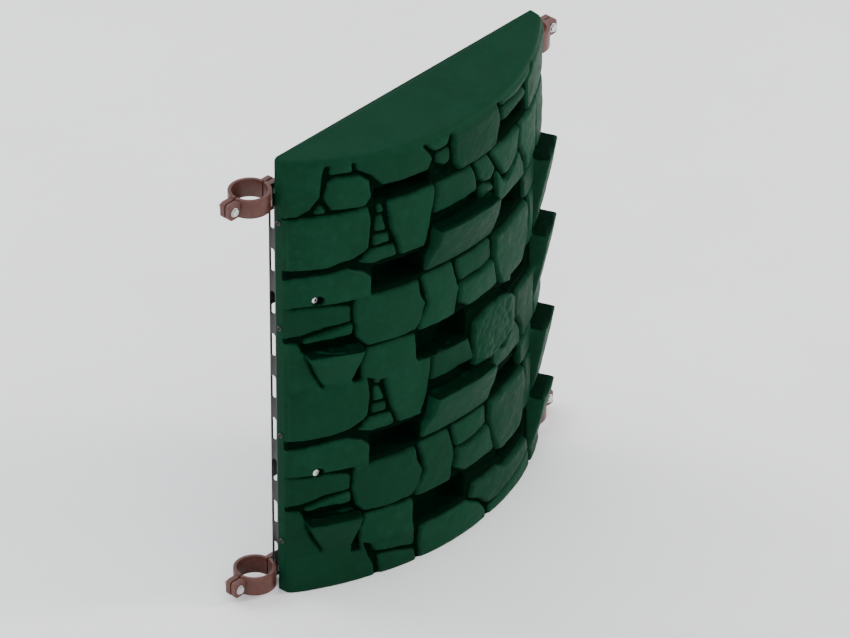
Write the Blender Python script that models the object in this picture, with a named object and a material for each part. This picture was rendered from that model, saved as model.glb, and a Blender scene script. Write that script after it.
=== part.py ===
"""Rock climbing wall for a playground deck.

A moulded, stone-pattern shell with hand and foot pockets stands on the ground between two round posts.
Slotted steel angles run up inside its two sides, and cast two-piece clamps hold the angles to the posts.

Metres, +Z up. The climber is on the -Y side and the deck on the +Y side. X runs from post to post.
Two lengths place everything: u is the distance from a post's centre towards the middle of the wall, and
v is the distance from the line through both post centres towards the climber.
"""
import math

import bmesh
import bpy
from mathutils import Matrix, Vector

# Driving dimensions: the bay
POST_SPACING = 0.990
POST_RADIUS = 0.04445
FIT_GAP = 0.0003            # between pieces that touch
PAST = 0.010                # how far a cutter runs past what it cuts
FAR = 0.050                 # the same, where the surface is curved or uneven

# The shell
CHORD = 0.9144
CHORD_V = 0.076             # where the curved face meets the side returns
BACK_V = 0.046              # the rear edge of the returns and of the top
SAGITTA_BASE = 0.1422
SAGITTA_TOP = 0.1727
TOP_BACK = 1.265            # height of the top at its rear edge
TOP_RIM = 1.245             # height of the top at the middle of its front rim
WALL = 0.006
FOOT_WIDTH = 0.036
FACE_STEPS = 30
LIP_DROP = 0.042
LIP_HALF = 0.425
LIP_HOLE_X = (-0.36, -0.13, 0.13, 0.36)
LIP_HOLE_RADIUS = 0.0055
LIP_HOLE_DROP = 0.0252      # below the top of the lip
PATTERN_RISE = 0.498        # the stone pattern repeats at this height

# Pockets for hands and feet: left edge, right edge, sill height, head height
POCKET_DEPTH = 0.045
POCKETS = {
    "upper_left": (-0.265, -0.110, 1.110, 1.146),
    "upper_right": (0.126, 0.271, 1.118, 1.163),
    "high_left": (-0.267, -0.128, 0.851, 0.922),
    "high_right": (0.124, 0.253, 0.864, 0.925),
    "middle": (-0.140, 0.025, 0.599, 0.683),
    "middle_right": (0.195, 0.322, 0.627, 0.686),
    "low_left": (-0.267, -0.128, 0.851 - PATTERN_RISE, 0.922 - PATTERN_RISE),
    "low_right": (0.136, 0.271, 0.356, 0.404),
    "bottom": (-0.138, 0.034, 0.103, 0.186),
    "bottom_right": (0.190, 0.322, 0.127, 0.178),
}

# Ledges, the stones that lean out at the top: left edge, right edge, top height, height, overhang
LEDGES = (
    (-0.105, 0.105, 0.982, 0.115, 0.036),
    (-0.105, 0.105, 0.982 - PATTERN_RISE, 0.115, 0.036),
    (-0.412, -0.298, 0.703, 0.100, 0.030),
    (-0.412, -0.298, 0.703 - PATTERN_RISE, 0.100, 0.030),
    (0.352, 0.449, 0.925, 0.218, 0.045),
    (0.352, 0.449, 0.699, 0.218, 0.045),
    (0.352, 0.449, 0.419, 0.206, 0.045),
    (0.352, 0.449, 0.206, 0.170, 0.045),
)
LEDGE_STEPS = 4
LEDGE_TOE = 0.002           # a ledge's lower edge stands this proud
LEDGE_ROOT = 0.003          # and its back is sunk this far into the wall

# Side angles
ANGLE_STEEL = 0.003
ANGLE_V = (0.017, 0.072)    # the slotted leg runs front to back beside the shell's return
ANGLE_REACH_U = 0.118       # the tabs of the other leg run across, behind the face bolts
ANGLE_Z = (0.016, 1.170)
TAB_HALF = 0.030            # half the height of a tab left at a face bolt
TAB_END = 0.052             # how far a tab reaches past a clamp's middle
TAB_STUB = 0.004            # width left beside the slotted leg between tabs
SLOT_COUNT = 9
SLOT_PITCH = 0.1235
SLOT_MIDDLE_Z = 0.592
SLOT_LENGTH = 0.066
SLOT_WIDTH = 0.016
SLOT_V = 0.029

# Post clamps
CLAMP_HEIGHTS = {"lower": 0.038, "upper": 1.148}
CLAMP_HEIGHT = 0.050
CLAMP_OUTER = 0.0535
CLAMP_SPLIT = 0.004
EAR_REACH = 0.086
EAR_FRONT = ANGLE_V[0] - FIT_GAP
EAR_BOLT_U = 0.070
EAR_SHORT = 0.004           # how far the ears stop short of the ring at top and bottom
COPE_U = 0.056              # the angles are cut away this far around the clamps
COPE_CLEAR = 0.004

# Fasteners
M10_SHANK = 0.005
M10_HEX = 0.0098
M10_HEAD = 0.0064
M10_NUT = 0.0084
M10_LENGTH = 0.050
M8_SHANK = 0.004
M8_HEAD_RADIUS = 0.0075
M8_HEAD = 0.0045
M8_HEX = 0.0075
M8_NUT = 0.0068
HOLE_PLAY = 0.0006
SIDE_BOLT_HEIGHTS = (0.150, 0.465, 0.780, 1.085)
SIDE_BOLT_V = 0.059
SIDE_BOLT_LENGTH = 0.022
FACE_BOLT_U = 0.1025
FACE_BOLT_HEIGHTS = {"left": (0.348, 0.856), "right": (0.236, 0.740)}
FACE_SEAT_V = 0.112
FACE_BOLT_LENGTH = 0.106
BOSS_RADIUS = 0.019
RECESS_RADIUS = 0.0135
ROUND_STEPS = 16            # sides of a round recess, boss or slot cutter
HOLE_STEPS = 12
CLAMP_STEPS = 48
SLEEVE_RADIUS = 0.0085
SIDES = {"left": -1, "right": 1}
NAMED_LEVELS = ("low", "high")

# Worked-out places
HALF = CHORD / 2
POST_X = POST_SPACING / 2
SIDE_U = POST_X - HALF
LEG_U = SIDE_U + WALL + FIT_GAP
TOP_SLOPE = (TOP_BACK - TOP_RIM) / (CHORD_V + SAGITTA_TOP - BACK_V)


def sagitta(z):
    """Depth of the face's arc at a height."""
    return SAGITTA_BASE + (SAGITTA_TOP - SAGITTA_BASE) * z / TOP_RIM


def face_v(x, z, inset=0.0):
    """How far out the curved face is, or a surface that much inside it."""
    depth = sagitta(z)
    radius = (HALF ** 2 + depth ** 2) / (2 * depth)
    return CHORD_V + depth - radius + math.sqrt((radius - inset) ** 2 - x ** 2)


def top_z(v):
    """Height of the sloping top."""
    return TOP_BACK - TOP_SLOPE * (v - BACK_V)


FRONT_V = face_v(0, LEDGES[0][2], -LEDGES[0][4])
POST_Y = (FRONT_V - CLAMP_OUTER) / 2


def place(side, u, v, z):
    """A point beside one post, from its u, v and height."""
    return Vector((SIDES[side] * (POST_X - u), POST_Y - v, z))


# Scene and object helpers

def clear_scene():
    for item in list(bpy.data.objects):
        bpy.data.objects.remove(item, do_unlink=True)


def make_collection(name):
    group = bpy.data.collections.new(name)
    bpy.context.scene.collection.children.link(group)
    return group


def make_material(name, colour, roughness, metallic):
    material = bpy.data.materials.new(name)
    material.use_nodes = True
    shader = material.node_tree.nodes["Principled BSDF"]
    shader.inputs["Base Color"].default_value = (*colour, 1.0)
    shader.inputs["Roughness"].default_value = roughness
    shader.inputs["Metallic"].default_value = metallic
    return material


def finish_mesh(name, work):
    """Turn a bmesh into a mesh with its faces pointing out."""
    bmesh.ops.recalc_face_normals(work, faces=work.faces)
    mesh = bpy.data.meshes.new(name)
    work.to_mesh(mesh)
    work.free()
    return mesh


def add_part(name, mesh, material):
    part = bpy.data.objects.new(name, mesh)
    PARTS.objects.link(part)
    part.parent = ROOT
    mesh.materials.clear()
    mesh.materials.append(material)
    return part


def add_cutter(name, mesh):
    cutter = bpy.data.objects.new(name, mesh)
    CUTTERS.objects.link(cutter)
    cutter.parent = ROOT
    cutter.hide_render = True
    cutter.display_type = "WIRE"
    return cutter


def combine(target, other, operation):
    step = target.modifiers.new(f"{operation.lower()}_{other.name}", "BOOLEAN")
    step.operation = operation
    step.solver = "EXACT"
    step.object = other


def smooth_round(mesh, angle=30):
    mesh.shade_smooth()
    mesh.set_sharp_from_angle(angle=math.radians(angle))


# Mesh helpers

def put_box(work, low, high):
    """A box between two corners."""
    low, high = Vector(low), Vector(high)
    size = Matrix.Diagonal((*(high - low), 1.0))
    bmesh.ops.create_cube(work, size=1.0, matrix=Matrix.Translation((low + high) / 2) @ size)


def put_rod(work, start, end, radius, sides):
    """A cylinder from one point to another."""
    start, end = Vector(start), Vector(end)
    turn = (end - start).to_track_quat("Z", "Y").to_matrix().to_4x4()
    bmesh.ops.create_cone(work, cap_ends=True, segments=sides, radius1=radius, radius2=radius,
                          depth=(end - start).length,
                          matrix=Matrix.Translation((start + end) / 2) @ turn)


def box_mesh(name, boxes):
    work = bmesh.new()
    for low, high in boxes:
        put_box(work, low, high)
    return finish_mesh(name, work)


def rod_mesh(name, rods):
    work = bmesh.new()
    for start, end, radius, sides in rods:
        put_rod(work, start, end, radius, sides)
    return finish_mesh(name, work)


def ordered(low, high):
    """Two corners put in order, for a box given by any two opposite points."""
    return ([min(a, b) for a, b in zip(low, high)], [max(a, b) for a, b in zip(low, high)])


# The shell

def d_solid(name, inset, bottom, below_top, back_v):
    """A closed D-shaped solid, lofted from the base arc to the deeper arc under the top."""
    half = HALF - inset
    across = [half * (2 * i / FACE_STEPS - 1) for i in range(FACE_STEPS + 1)]
    work = bmesh.new()
    rings = []
    for at_top in (False, True):
        outline = [(x, face_v(x, TOP_RIM if at_top else bottom, inset)) for x in across]
        outline += [(half, back_v), (-half, back_v)]
        rings.append([work.verts.new((x, POST_Y - v, top_z(v) - below_top if at_top else bottom))
                      for x, v in outline])
    lower, upper = rings
    count = len(lower)
    sides = [work.faces.new((lower[i], lower[(i + 1) % count], upper[(i + 1) % count], upper[i]))
             for i in range(count)]
    work.faces.new(lower)
    work.faces.new(upper)
    bmesh.ops.triangulate(work, faces=sides)
    return finish_mesh(name, work)


def ledge_mesh():
    """Wedges that follow the curve: flat on top, leaning out, and tapering into the face below."""
    work = bmesh.new()
    for left, right, top, height, overhang in LEDGES:
        sections = []
        for i in range(LEDGE_STEPS + 1):
            x = left + (right - left) * i / LEDGE_STEPS
            corners = [(top, -overhang), (top, LEDGE_ROOT),
                       (top - height, LEDGE_ROOT), (top - height, -LEDGE_TOE)]
            sections.append([work.verts.new((x, POST_Y - face_v(x, z, inset), z))
                             for z, inset in corners])
        for one, two in zip(sections, sections[1:]):
            for k in range(4):
                work.faces.new((one[k], one[(k + 1) % 4], two[(k + 1) % 4], two[k]))
        work.faces.new(sections[0])
        work.faces.new(sections[-1])
    bmesh.ops.triangulate(work, faces=work.faces)
    return finish_mesh("ledges", work)


def pocket_floor_v(left, right, sill):
    """The back of a pocket, a fixed depth behind the shallower end of its mouth."""
    return min(face_v(left, sill), face_v(right, sill)) - POCKET_DEPTH


def pocket_boxes(grow, out_v):
    """One box for each pocket, grown on five sides, and open towards the climber."""
    boxes = []
    for left, right, sill, head in POCKETS.values():
        floor = pocket_floor_v(left, right, sill)
        boxes.append(ordered((left - grow, POST_Y - floor + grow, sill - grow),
                            (right + grow, POST_Y - out_v, head + grow)))
    return boxes


def face_bolt_places():
    return [(side, z) for side, heights in FACE_BOLT_HEIGHTS.items() for z in heights]


def build_shell(material):
    shell = add_part("wall_shell", d_solid("wall_shell", 0.0, 0.0, 0.0, BACK_V), material)
    far_v = FRONT_V + FAR
    hollow = add_cutter("shell_hollow", d_solid("shell_hollow", WALL, WALL, WALL, 0.0))
    combine(hollow, add_cutter("pocket_cups", box_mesh("pocket_cups", pocket_boxes(WALL, far_v))),
            "DIFFERENCE")
    bosses = [(place(s, FACE_BOLT_U, FACE_SEAT_V - WALL, z), place(s, FACE_BOLT_U, far_v, z),
               BOSS_RADIUS, ROUND_STEPS) for s, z in face_bolt_places()]
    combine(hollow, add_cutter("bolt_bosses", rod_mesh("bolt_bosses", bosses)), "DIFFERENCE")
    combine(shell, hollow, "DIFFERENCE")
    foot = d_solid("foot_opening", FOOT_WIDTH, -WALL, TOP_RIM - 2 * WALL, 0.0)
    combine(shell, add_cutter("foot_opening", foot), "DIFFERENCE")
    combine(shell, add_cutter("ledges", ledge_mesh()), "UNION")
    lip_top = top_z(BACK_V) - WALL / 2
    lip = ordered((-LIP_HALF, POST_Y - BACK_V, lip_top - LIP_DROP),
                 (LIP_HALF, POST_Y - BACK_V - WALL, lip_top))
    combine(shell, add_cutter("rear_lip", box_mesh("rear_lip", [lip])), "UNION")
    combine(shell, add_cutter("pockets", box_mesh("pockets", pocket_boxes(0.0, far_v))), "DIFFERENCE")

    recesses = []
    shanks = []
    for side, z in face_bolt_places():
        recesses.append((place(side, FACE_BOLT_U, FACE_SEAT_V, z), place(side, FACE_BOLT_U, far_v, z),
                         RECESS_RADIUS, ROUND_STEPS))
        shanks.append((place(side, FACE_BOLT_U, FACE_SEAT_V - 2 * WALL, z),
                       place(side, FACE_BOLT_U, FACE_SEAT_V + WALL, z), M8_SHANK + HOLE_PLAY, HOLE_STEPS))
    for side in SIDES:
        shanks += [(place(side, SIDE_U - WALL, SIDE_BOLT_V, z),
                    place(side, SIDE_U + 2 * WALL, SIDE_BOLT_V, z),
                    M8_SHANK + HOLE_PLAY, HOLE_STEPS) for z in SIDE_BOLT_HEIGHTS]
    hole_z = lip_top - LIP_HOLE_DROP
    shanks += [((x, POST_Y - BACK_V + WALL, hole_z), (x, POST_Y - BACK_V - 2 * WALL, hole_z),
                LIP_HOLE_RADIUS, HOLE_STEPS) for x in LIP_HOLE_X]
    combine(shell, add_cutter("bolt_recesses", rod_mesh("bolt_recesses", recesses)), "DIFFERENCE")
    combine(shell, add_cutter("bolt_holes", rod_mesh("bolt_holes", shanks)), "DIFFERENCE")


# The steel and the castings

def slot_mesh(side):
    """Obround cutters, each one outline with half a circle at both ends."""
    straight = (SLOT_LENGTH - SLOT_WIDTH) / 2
    work = bmesh.new()
    for i in range(SLOT_COUNT):
        z = SLOT_MIDDLE_Z + (i - (SLOT_COUNT - 1) / 2) * SLOT_PITCH
        ring = []
        for k in range(ROUND_STEPS):
            turn = 2 * math.pi * (k + 0.5) / ROUND_STEPS
            lift = straight if math.sin(turn) > 0 else -straight
            ring.append((SLOT_V + SLOT_WIDTH / 2 * math.cos(turn),
                         z + lift + SLOT_WIDTH / 2 * math.sin(turn)))
        near = [work.verts.new(place(side, LEG_U - PAST, v, h)) for v, h in ring]
        far = [work.verts.new(place(side, LEG_U + PAST, v, h)) for v, h in ring]
        work.faces.new(near)
        work.faces.new(far)
        for k in range(ROUND_STEPS):
            after = (k + 1) % ROUND_STEPS
            work.faces.new((near[k], near[after], far[after], far[k]))
    return finish_mesh(f"{side}_slots", work)


def build_angle(side, material):
    """A slotted steel angle, coped to pass the clamps, its inner leg cut back to tabs between the bolts."""
    low, high = ANGLE_Z
    cope = CLAMP_HEIGHT / 2 + COPE_CLEAR
    work = bmesh.new()
    outline = [(LEG_U, ANGLE_V[0]), (ANGLE_REACH_U, ANGLE_V[0]),
               (ANGLE_REACH_U, ANGLE_V[0] + ANGLE_STEEL), (LEG_U + ANGLE_STEEL, ANGLE_V[0] + ANGLE_STEEL),
               (LEG_U + ANGLE_STEEL, ANGLE_V[1]), (LEG_U, ANGLE_V[1])]
    base = work.faces.new([work.verts.new(place(side, u, v, low)) for u, v in outline])
    rise = bmesh.ops.extrude_face_region(work, geom=[base])
    bmesh.ops.translate(work, vec=(0, 0, high - low),
                        verts=[item for item in rise["geom"] if isinstance(item, bmesh.types.BMVert)])
    angle = add_part(f"{side}_side_angle", finish_mesh(f"{side}_side_angle", work), material)
    combine(angle, add_cutter(f"{side}_slot_cutter", slot_mesh(side)), "DIFFERENCE")

    copes = [ordered(place(side, 0.0, 0.0, low - PAST),
                     place(side, COPE_U, 2 * FAR, CLAMP_HEIGHTS["lower"] + cope)),
             ordered(place(side, 0.0, 0.0, CLAMP_HEIGHTS["upper"] - cope),
                     place(side, COPE_U, 2 * FAR, high + PAST))]
    combine(angle, add_cutter(f"{side}_copes", box_mesh(f"{side}_copes", copes)), "DIFFERENCE")

    tabs = [(low, CLAMP_HEIGHTS["lower"] + TAB_END)]
    tabs += [(z - TAB_HALF, z + TAB_HALF) for z in FACE_BOLT_HEIGHTS[side]]
    tabs.append((CLAMP_HEIGHTS["upper"] - TAB_END, high))
    windows = [ordered(place(side, LEG_U + ANGLE_STEEL + TAB_STUB, 0.0, below[1]),
                       place(side, ANGLE_REACH_U + PAST, ANGLE_V[0] + ANGLE_STEEL + PAST, above[0]))
               for below, above in zip(tabs, tabs[1:])]
    combine(angle, add_cutter(f"{side}_windows", box_mesh(f"{side}_windows", windows)), "DIFFERENCE")

    holes = [(place(side, EAR_BOLT_U, 0.0, z), place(side, EAR_BOLT_U, FAR, z),
              M10_SHANK + HOLE_PLAY, HOLE_STEPS)
             for z in CLAMP_HEIGHTS.values()]
    holes += [(place(side, FACE_BOLT_U, 0.0, z), place(side, FACE_BOLT_U, FAR, z),
               M8_SHANK + HOLE_PLAY, HOLE_STEPS) for z in FACE_BOLT_HEIGHTS[side]]
    holes += [(place(side, LEG_U - PAST, SIDE_BOLT_V, z), place(side, LEG_U + PAST, SIDE_BOLT_V, z),
               M8_SHANK + HOLE_PLAY, HOLE_STEPS) for z in SIDE_BOLT_HEIGHTS]
    combine(angle, add_cutter(f"{side}_angle_holes", rod_mesh(f"{side}_angle_holes", holes)), "DIFFERENCE")


def settled(part, name):
    """The mesh that a part's booleans give. The part itself is removed."""
    bpy.context.view_layer.update()
    solid = bpy.data.meshes.new_from_object(part.evaluated_get(bpy.context.evaluated_depsgraph_get()))
    bpy.data.objects.remove(part, do_unlink=True)
    solid.name = name
    smooth_round(solid)
    return solid


def clamp_half(name, direction):
    """The half of a clamp on the -Y side (-1) or the +Y side (1): half a ring with two bolted ears."""
    tall = CLAMP_HEIGHT / 2
    over = CLAMP_HEIGHT
    wide = EAR_REACH + PAST
    barrel = [((0, 0, -tall), (0, 0, tall), CLAMP_OUTER, CLAMP_STEPS)]
    ring = bpy.data.objects.new(name, rod_mesh(name, barrel))
    CUTTERS.objects.link(ring)
    ears = ordered((-EAR_REACH, -EAR_FRONT, -tall + EAR_SHORT), (EAR_REACH, EAR_FRONT, tall - EAR_SHORT))
    combine(ring, add_cutter(f"{name}_ears", box_mesh(f"{name}_ears", [ears])), "UNION")
    bore = [((0, 0, -over), (0, 0, over), POST_RADIUS, CLAMP_STEPS)]
    combine(ring, add_cutter(f"{name}_bore", rod_mesh(f"{name}_bore", bore)), "DIFFERENCE")
    away = ordered((-wide, direction * CLAMP_SPLIT / 2, -over), (wide, -direction * wide, over))
    combine(ring, add_cutter(f"{name}_split", box_mesh(f"{name}_split", [away])), "DIFFERENCE")
    holes = [((x, -FAR, 0), (x, FAR, 0), M10_SHANK + HOLE_PLAY, HOLE_STEPS)
             for x in (-EAR_BOLT_U, EAR_BOLT_U)]
    combine(ring, add_cutter(f"{name}_holes", rod_mesh(f"{name}_holes", holes)), "DIFFERENCE")
    return settled(ring, name)


def headed_mesh(name, head_radius, head_height, head_sides, shank_radius, length):
    """A bolt along +Z from under its head: the head and a plain shank, made one."""
    cap = [((0, 0, -head_height), (0, 0, 0), head_radius, head_sides)]
    head = bpy.data.objects.new(name, rod_mesh(name, cap))
    CUTTERS.objects.link(head)
    shank = [((0, 0, -head_height / 2), (0, 0, length), shank_radius, HOLE_STEPS)]
    combine(head, add_cutter(f"{name}_shank", rod_mesh(f"{name}_shank", shank)), "UNION")
    return settled(head, name)


def ring_mesh(name, outer, inner, height, six_sided):
    """A nut or a sleeve: a wall around a round hole, up +Z from its face."""
    work = bmesh.new()
    sides = HOLE_STEPS
    turns = [2 * math.pi * k / sides for k in range(sides)]
    flat = math.cos(math.pi / 6) if six_sided else 1.0
    walls = [outer if k % 2 == 0 else outer * flat for k in range(sides)]
    bore = [inner / math.cos(math.pi / sides)] * sides
    rings = [[work.verts.new((radii[k] * math.cos(turn), radii[k] * math.sin(turn), z))
              for k, turn in enumerate(turns)]
             for radii, z in ((walls, 0), (walls, height), (bore, height), (bore, 0))]
    for one, two in zip(rings, rings[1:] + rings[:1]):
        for k in range(sides):
            work.faces.new((one[k], one[(k + 1) % sides], two[(k + 1) % sides], two[k]))
    return finish_mesh(name, work)


def add_along(name, mesh, start, direction, material):
    """A copy of a fastener at a point, its +Z turned along a direction."""
    part = add_part(name, mesh, material)
    part.matrix_local = Matrix.Translation(start) @ direction.to_track_quat("Z", "Y").to_matrix().to_4x4()


def build_clamps(casting, steel):
    halves = {"front": clamp_half("clamp_front_half", -1), "back": clamp_half("clamp_back_half", 1)}
    bolt = headed_mesh("clamp_bolt", M10_HEX, M10_HEAD, 6, M10_SHANK, M10_LENGTH)
    nut = ring_mesh("clamp_nut", M10_HEX, M10_SHANK + HOLE_PLAY / 2, M10_NUT, True)
    for side in SIDES:
        for level, z in CLAMP_HEIGHTS.items():
            for half, mesh in halves.items():
                part = add_part(f"{side}_{level}_clamp_{half}", mesh, casting)
                part.location = place(side, 0.0, 0.0, z)
            for end, u, seat in (("inner", EAR_BOLT_U, ANGLE_V[0] + ANGLE_STEEL),
                                 ("outer", -EAR_BOLT_U, EAR_FRONT)):
                name = f"{side}_{level}_clamp_{end}"
                add_along(f"{name}_bolt", bolt, place(side, u, seat + FIT_GAP, z), Vector((0, 1, 0)), steel)
                add_along(f"{name}_nut", nut, place(side, u, -EAR_FRONT - FIT_GAP, z),
                          Vector((0, 1, 0)), steel)


def build_side_bolts(steel):
    bolt = headed_mesh("side_bolt", M8_HEAD_RADIUS, M8_HEAD, HOLE_STEPS, M8_SHANK, SIDE_BOLT_LENGTH)
    nut = ring_mesh("side_nut", M8_HEX, M8_SHANK + HOLE_PLAY / 2, M8_NUT, True)
    for side, sign in SIDES.items():
        inward = Vector((-sign, 0, 0))
        for i, z in enumerate(SIDE_BOLT_HEIGHTS, 1):
            add_along(f"{side}_side_bolt_{i}", bolt, place(side, SIDE_U - FIT_GAP, SIDE_BOLT_V, z),
                      inward, steel)
            add_along(f"{side}_side_nut_{i}", nut,
                      place(side, LEG_U + ANGLE_STEEL + FIT_GAP, SIDE_BOLT_V, z), inward, steel)


def build_face_bolts(bright, steel):
    bolt = headed_mesh("face_bolt", M8_HEAD_RADIUS, M8_HEAD, HOLE_STEPS, M8_SHANK, FACE_BOLT_LENGTH)
    nut = ring_mesh("face_nut", M8_HEX, M8_SHANK + HOLE_PLAY / 2, M8_NUT, True)
    behind = ANGLE_V[0] + ANGLE_STEEL + FIT_GAP
    sleeve = ring_mesh("face_sleeve", SLEEVE_RADIUS, M8_SHANK + HOLE_PLAY,
                       FACE_SEAT_V - WALL - FIT_GAP - behind, False)
    back = Vector((0, 1, 0))
    for side, heights in FACE_BOLT_HEIGHTS.items():
        for level, z in zip(NAMED_LEVELS, heights):
            add_along(f"{side}_{level}_face_bolt", bolt,
                      place(side, FACE_BOLT_U, FACE_SEAT_V + FIT_GAP, z), back, bright)
            add_along(f"{side}_{level}_spacer_sleeve", sleeve,
                      place(side, FACE_BOLT_U, FACE_SEAT_V - WALL - FIT_GAP, z), back, steel)
            add_along(f"{side}_{level}_face_nut", nut,
                      place(side, FACE_BOLT_U, ANGLE_V[0] - FIT_GAP, z), back, steel)


clear_scene()
PARTS = make_collection("rock_climbing_wall")
CUTTERS = make_collection("wall_cutters")
ROOT = bpy.data.objects.new("wall_origin", None)
PARTS.objects.link(ROOT)

green_plastic = make_material("green_plastic", (0.012, 0.075, 0.045), 0.55, 0.0)
brown_coat = make_material("brown_coat", (0.17, 0.075, 0.058), 0.45, 0.0)
black_steel = make_material("black_steel", (0.012, 0.012, 0.012), 0.5, 0.6)
zinc_steel = make_material("zinc_steel", (0.55, 0.56, 0.55), 0.35, 0.9)

build_shell(green_plastic)
for wall_side in SIDES:
    build_angle(wall_side, black_steel)
build_clamps(brown_coat, zinc_steel)
build_side_bolts(black_steel)
build_face_bolts(zinc_steel, black_steel)
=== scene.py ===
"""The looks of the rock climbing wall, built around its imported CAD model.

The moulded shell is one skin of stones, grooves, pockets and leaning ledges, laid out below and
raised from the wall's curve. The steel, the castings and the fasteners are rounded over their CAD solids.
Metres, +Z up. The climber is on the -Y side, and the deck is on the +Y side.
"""

import math

import bmesh
import bpy
import numpy as np
from mathutils import Matrix, Vector


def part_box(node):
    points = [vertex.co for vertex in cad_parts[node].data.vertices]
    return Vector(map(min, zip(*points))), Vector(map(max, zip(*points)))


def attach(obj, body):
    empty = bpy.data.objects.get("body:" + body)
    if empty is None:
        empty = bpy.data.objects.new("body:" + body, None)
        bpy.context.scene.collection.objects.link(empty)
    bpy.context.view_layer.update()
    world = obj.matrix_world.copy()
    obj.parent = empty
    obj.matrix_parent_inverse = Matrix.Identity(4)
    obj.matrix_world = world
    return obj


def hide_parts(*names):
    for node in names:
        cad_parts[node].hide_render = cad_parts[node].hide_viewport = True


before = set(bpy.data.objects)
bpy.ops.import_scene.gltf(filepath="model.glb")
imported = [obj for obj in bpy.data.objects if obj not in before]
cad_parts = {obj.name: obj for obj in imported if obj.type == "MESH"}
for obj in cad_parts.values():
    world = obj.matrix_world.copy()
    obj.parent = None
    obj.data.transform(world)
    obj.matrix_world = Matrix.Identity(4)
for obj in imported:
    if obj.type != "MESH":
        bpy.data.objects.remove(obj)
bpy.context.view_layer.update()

BODY = "root"
INCH = 0.0254

# The wall's curve, as the CAD has it. v is the distance out from the line through the post centres, and u the
# distance in from a post's centre along that line.
shell_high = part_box("wall_shell")[1]
HALF = shell_high.x
POST_X = 0.495
POST_Y = (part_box("left_lower_clamp_front")[0].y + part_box("left_lower_clamp_back")[1].y) / 2
CHORD_V = 0.076
BACK_V = POST_Y - shell_high.y
SAGITTA_BASE = 0.1422
SAGITTA_TOP = 0.1727
TOP_BACK = shell_high.z
TOP_RIM = 1.245
WALL = 0.006
FOOT_WIDTH = 0.036
SEED = 20

# The stone layout, in inches: x from the left post's centre, z from the ground
LAYOUT_MIDDLE = 19.33
COURSE_RISE = 0.498 / INCH

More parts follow.
